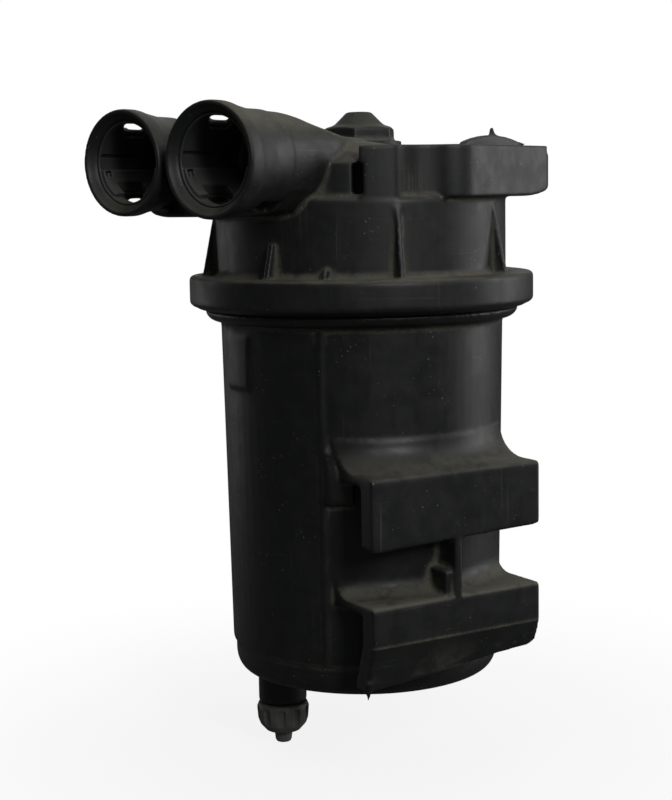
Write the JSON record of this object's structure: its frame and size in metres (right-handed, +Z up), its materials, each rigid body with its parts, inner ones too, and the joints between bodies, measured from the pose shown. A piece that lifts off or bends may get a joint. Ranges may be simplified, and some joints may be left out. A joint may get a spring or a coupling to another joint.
{
  "type": "fuel filter",
  "caption": "Canister fuel filter with a screw-on ported lid, a bowl with a moulded mounting shoe, a pleated element and a water drain screw.",
  "frame": {"origin": "centre of the bowl's flat underside, on the canister's axis", "axes": "+Z up along the canister axis, the port barrels point along -Y, +X to the right seen from the ports"},
  "size_m": [0.1171, 0.1332, 0.2069],
  "materials": {
    "bowl_plastic": "moulded glass-filled nylon, worn satin",
    "lid_plastic": "moulded glass-filled nylon, dusty satin",
    "rubber": "smooth nitrile rubber",
    "steel": "turned steel",
    "spring_steel": "drawn spring wire",
    "guide_plastic": "moulded nylon, dusty",
    "filter_paper": "resin-treated pleated paper",
    "cap_plastic": "dark green nylon",
    "tube_plastic": "natural nylon",
    "screen_mesh": "fine coated mesh",
    "heater_metal": "stamped sheet",
    "heater_ceramic": "dark heating ceramic",
    "terminal_metal": "tinned brass",
    "knob_plastic": "moulded nylon, worn grey on the flutes"
  },
  "bodies": {
    "bowl": {"bowl": "bowl_plastic", "element_spring": "spring_steel"},
    "lift": {"lid_seal": "rubber", "pleat_pack": "filter_paper", "top_end_cap": "cap_plastic", "bottom_end_cap": "cap_plastic", "centre_tube": "tube_plastic", "water_screen": "screen_mesh", "element_top_seal": "rubber"},
    "lid": {"lid": "lid_plastic", "inlet_nipple": "steel", "outlet_nipple": "steel", "inlet_nipple_seal": "rubber", "outlet_nipple_seal": "rubber", "inlet_guide_sleeve": "guide_plastic", "outlet_guide_sleeve": "guide_plastic", "heater_lower_plate": "heater_metal", "heater_tablets": "heater_ceramic", "heater_upper_plate": "heater_metal", "terminal_blades": "terminal_metal"},
    "drain_travel": {"drain_seal": "rubber"},
    "drain": {"drain_screw": "knob_plastic"}
  },
  "joints": [
    {"name": "lid_lift", "type": "slide", "parent": "bowl", "child": "lift", "axis": [0, 0, 1], "range_m": [0, 0.01001], "deforming": ["element_spring"]},
    {"name": "lid_turn", "type": "hinge", "parent": "lift", "child": "lid", "pos_m": [0, 0, 0.12], "axis": [0, 0, 1], "range_deg": [0, 720]},
    {"name": "drain_slide", "type": "slide", "parent": "bowl", "child": "drain_travel", "axis": [0, 0, -1], "range_m": [0, 0.00451]},
    {"name": "drain_turn", "type": "hinge", "parent": "drain_travel", "child": "drain", "pos_m": [-0.01745, -0.02316, -0.01], "axis": [0, 0, -1], "range_deg": [0, 1080]}
  ],
  "couplings": [
    {"joint": "lid_lift", "follows": "lid_turn", "m_per_rad": 0.00079577},
    {"joint": "drain_slide", "follows": "drain_turn", "m_per_rad": 0.00023873}
  ]
}
